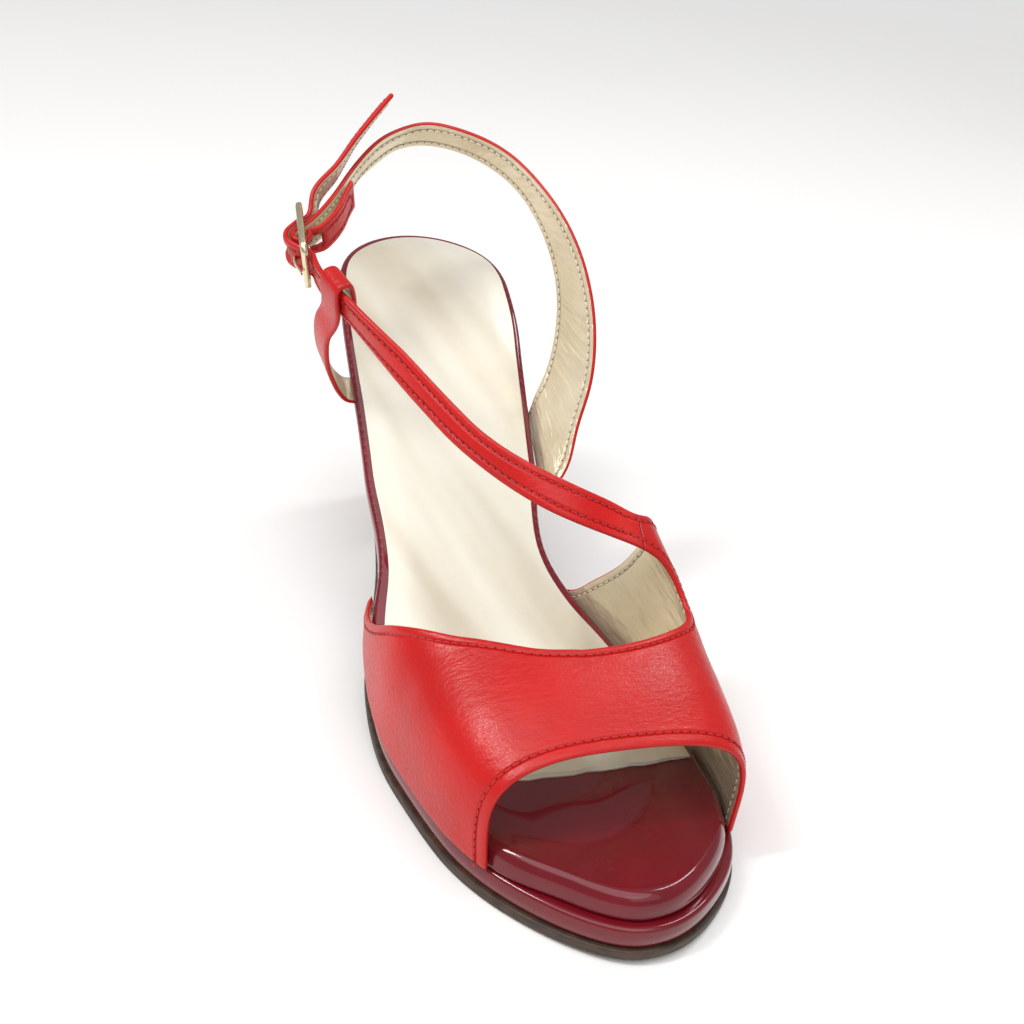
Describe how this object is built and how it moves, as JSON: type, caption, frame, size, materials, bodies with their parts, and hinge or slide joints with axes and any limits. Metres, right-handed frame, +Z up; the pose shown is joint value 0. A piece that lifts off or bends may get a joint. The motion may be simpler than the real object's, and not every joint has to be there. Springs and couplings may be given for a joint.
{
  "type": "peep-toe slingback sandal",
  "caption": "Red leather peep-toe slingback sandal with a diagonal instep strap, side buckle, patent platform and block heel, worn on the right foot",
  "frame": {"origin": "the middle of the heel top piece's wearing face, on the floor plane", "axes": "+X towards the toe, +Y towards the inner side of the foot, +Z up"},
  "size_m": [0.2226, 0.0906, 0.1382],
  "materials": {
    "red_leather": "smooth satin leather, lined in pale metallic leather",
    "burgundy_patent": "high gloss patent",
    "sock_leather": "pale champagne, soft sheen",
    "sole_leather": "dark matte edge",
    "heel_tip": "matte tan",
    "pale_gold": "polished pale gold"
  },
  "bodies": {
    "root": {"outsole": "sole_leather", "platform": "burgundy_patent", "insole_board": "burgundy_patent", "sock": "sock_leather", "heel": "burgundy_patent", "heel_top_piece": "heel_tip", "upper": "red_leather", "sling_strap": "red_leather", "side_tab": "red_leather", "buckle_frame": "pale_gold", "buckle_prong": "pale_gold"}
  },
  "joints": []
}
